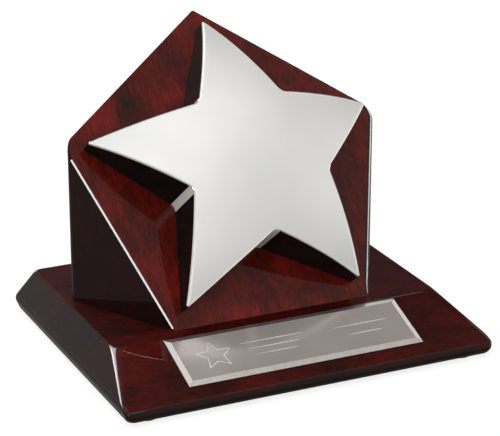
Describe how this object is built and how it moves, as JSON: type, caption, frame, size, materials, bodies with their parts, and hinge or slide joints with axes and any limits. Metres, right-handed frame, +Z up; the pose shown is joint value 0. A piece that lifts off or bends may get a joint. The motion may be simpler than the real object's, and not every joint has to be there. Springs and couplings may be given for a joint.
{
  "type": "star trophy",
  "caption": "Desk trophy: a polished domed star on the leaning face of a lacquered pentagon block, standing on a wide plinth with a sloped front and a blank nameplate.",
  "frame": {"origin": "middle of the trophy's footprint, on the surface that the feet rest on", "axes": "+X to the right in a front view, +Y to the back, +Z up"},
  "size_m": [0.189, 0.1524, 0.1477],
  "materials": {
    "lacquered_wood": "dark red rosewood veneer under clear piano lacquer",
    "polished_metal": "mirror polished silver plate",
    "satin_plate": "satin plate with bright bevelled border",
    "foam_tape": "white double-sided tape",
    "zinc_plated_steel": "bright zinc plate",
    "insert_brass": "turned brass",
    "dowel_beech": "bare beech",
    "foot_rubber": "smooth moulded rubber"
  },
  "bodies": {
    "root": {"plinth": "lacquered_wood", "pentagon_block": "lacquered_wood", "star_casting": "polished_metal", "nameplate": "satin_plate", "nameplate_tape": "foam_tape", "stud_top": "zinc_plated_steel", "stud_left": "zinc_plated_steel", "stud_right": "zinc_plated_steel", "block_screw_back": "zinc_plated_steel", "block_screw_left": "zinc_plated_steel", "block_screw_right": "zinc_plated_steel", "block_washer_back": "zinc_plated_steel", "block_washer_left": "zinc_plated_steel", "block_washer_right": "zinc_plated_steel", "block_insert_back": "insert_brass", "block_insert_left": "insert_brass", "block_insert_right": "insert_brass", "dowel_left": "dowel_beech", "dowel_right": "dowel_beech", "foot_front_left": "foot_rubber", "foot_front_right": "foot_rubber", "foot_back_left": "foot_rubber", "foot_back_right": "foot_rubber", "foot_disc_front_left": "foam_tape", "foot_disc_front_right": "foam_tape", "foot_disc_back_left": "foam_tape", "foot_disc_back_right": "foam_tape"}
  },
  "joints": []
}
